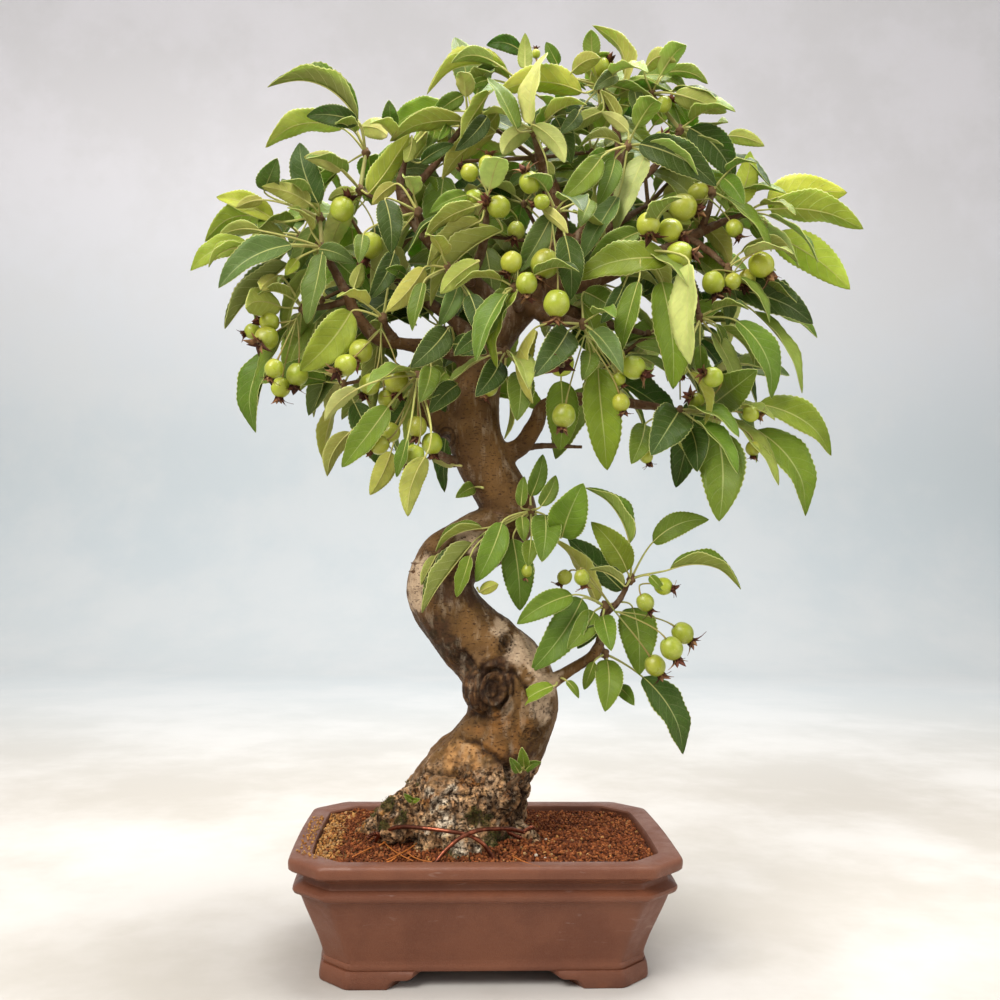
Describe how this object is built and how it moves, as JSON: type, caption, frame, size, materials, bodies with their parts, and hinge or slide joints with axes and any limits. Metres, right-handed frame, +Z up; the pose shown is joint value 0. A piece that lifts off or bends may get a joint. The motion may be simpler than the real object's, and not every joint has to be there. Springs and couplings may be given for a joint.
{
  "type": "hall crabapple bonsai",
  "caption": "Hall crabapple bonsai with an S-curved trunk, leafy fruiting branches and wired roots, planted in a shallow rectangular clay pot on low feet.",
  "frame": {"origin": "on the table, under the middle of the tree's whole bounding box", "axes": "+Z up along the trunk, -Y towards the front of the pot, +X to the viewer's right"},
  "size_m": [0.4692, 0.2142, 0.6495],
  "materials": {
    "clay": "unglazed reddish-brown clay, satin",
    "mesh": "matte",
    "soil": "rough fired-clay granules",
    "bark": "smooth bark above, flaky and mossy at the foot",
    "copper": "annealed copper, tarnished",
    "leaf": "soft green leaf, faintly waxy above",
    "fruit": "smooth yellow-green skin"
  },
  "bodies": {
    "root": {"pot": "clay", "drain_screen_left": "mesh", "drain_screen_right": "mesh", "soil": "soil", "wood": "bark", "wire_low": "copper", "wire_high": "copper", "leaves_left_top": "leaf", "leaves_left_outer": "leaf", "leaves_left_low": "leaf", "leaves_left_inner": "leaf", "leaves_left_foot": "leaf", "leaves_top_left": "leaf", "leaves_inner_left": "leaf", "leaves_crown_left": "leaf", "leaves_heart_left": "leaf", "leaves_heart_low_left": "leaf", "leaves_apex": "leaf", "leaves_top_right": "leaf", "leaves_right_crown": "leaf", "leaves_upper_right": "leaf", "leaves_heart": "leaf", "leaves_right_upper": "leaf", "leaves_right_heart": "leaf", "leaves_right_tip": "leaf", "leaves_right_mid": "leaf", "leaves_right_low": "leaf", "leaves_heart_low": "leaf", "leaves_throat": "leaf", "leaves_low_centre": "leaf", "leaves_low_right": "leaf", "leaves_crook": "leaf", "leaves_lower_branch": "leaf", "leaves_lower_middle": "leaf", "leaves_lower_low": "leaf", "leaves_sprout": "leaf", "leaves_back_left": "leaf", "leaves_back_low_left": "leaf", "leaves_back_top": "leaf", "leaves_back_middle": "leaf", "leaves_back_right": "leaf", "leaves_back_low_right": "leaf", "fruit_left_top": "fruit", "fruit_left_inner": "fruit", "fruit_left_foot": "fruit", "fruit_left_low": "fruit", "fruit_heart_left": "fruit", "fruit_heart_low": "fruit", "fruit_throat": "fruit", "fruit_heart": "fruit", "fruit_top_right": "fruit", "fruit_right_crown": "fruit", "fruit_right_upper": "fruit", "fruit_right_heart": "fruit", "fruit_right_mid": "fruit", "fruit_low_centre": "fruit", "fruit_low_right": "fruit", "fruit_lower_branch": "fruit", "fruit_lower_middle": "fruit"}
  },
  "joints": []
}
